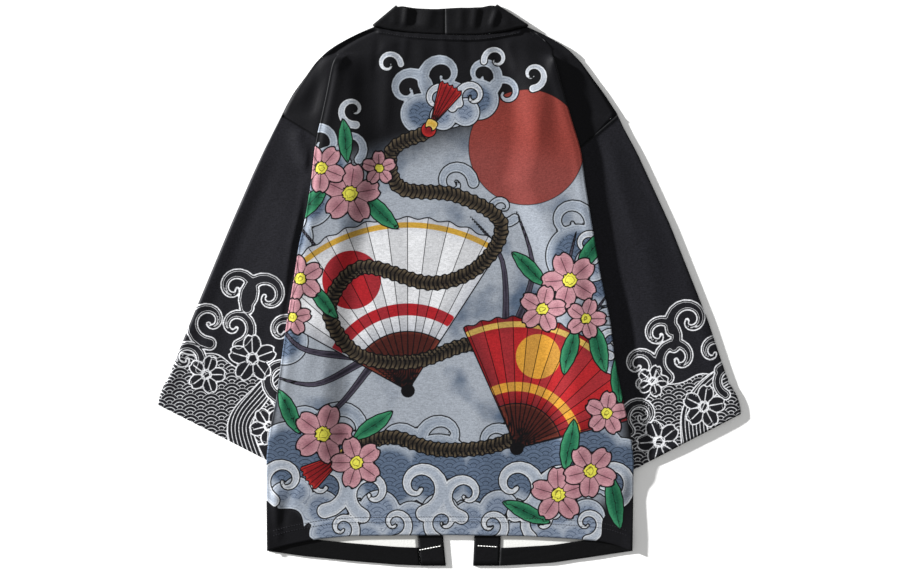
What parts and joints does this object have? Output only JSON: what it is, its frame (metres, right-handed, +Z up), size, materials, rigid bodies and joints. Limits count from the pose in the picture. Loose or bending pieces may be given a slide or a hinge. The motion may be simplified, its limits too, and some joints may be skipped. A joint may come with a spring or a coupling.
{
  "type": "open-front kimono-style robe with three-quarter sleeves, laid flat with its back up",
  "caption": "Flat-laid open-front black robe seen from the back, with wide three-quarter sleeves, a straight collar band and a many-coloured wave and blossom print.",
  "frame": {"origin": "centre of the bounding box in plan, on the surface the robe lies on", "axes": "+Z up off the surface and towards the camera, +Y from hem to collar, +X to the right as seen from above, which is the wearer's right sleeve as the back lies up"},
  "size_m": [0.7288, 0.7024, 0.0112],
  "materials": {
    "printed_cloth": "black woven polyester with a many-coloured print, soft sheen",
    "black_cloth": "black woven polyester, soft sheen",
    "sleeve_cloth": "black woven polyester with white line print at the lower end",
    "wrong_side": "unprinted wrong side of the cloth, off-white, with the printed side underneath"
  },
  "bodies": {
    "root": {"back_panel": "printed_cloth", "front_left": "wrong_side", "front_right": "wrong_side", "front_hem_left": "black_cloth", "front_hem_right": "black_cloth", "sleeve_left": "sleeve_cloth", "sleeve_right": "sleeve_cloth", "collar_band_left": "black_cloth", "collar_band_right": "black_cloth"}
  },
  "joints": []
}
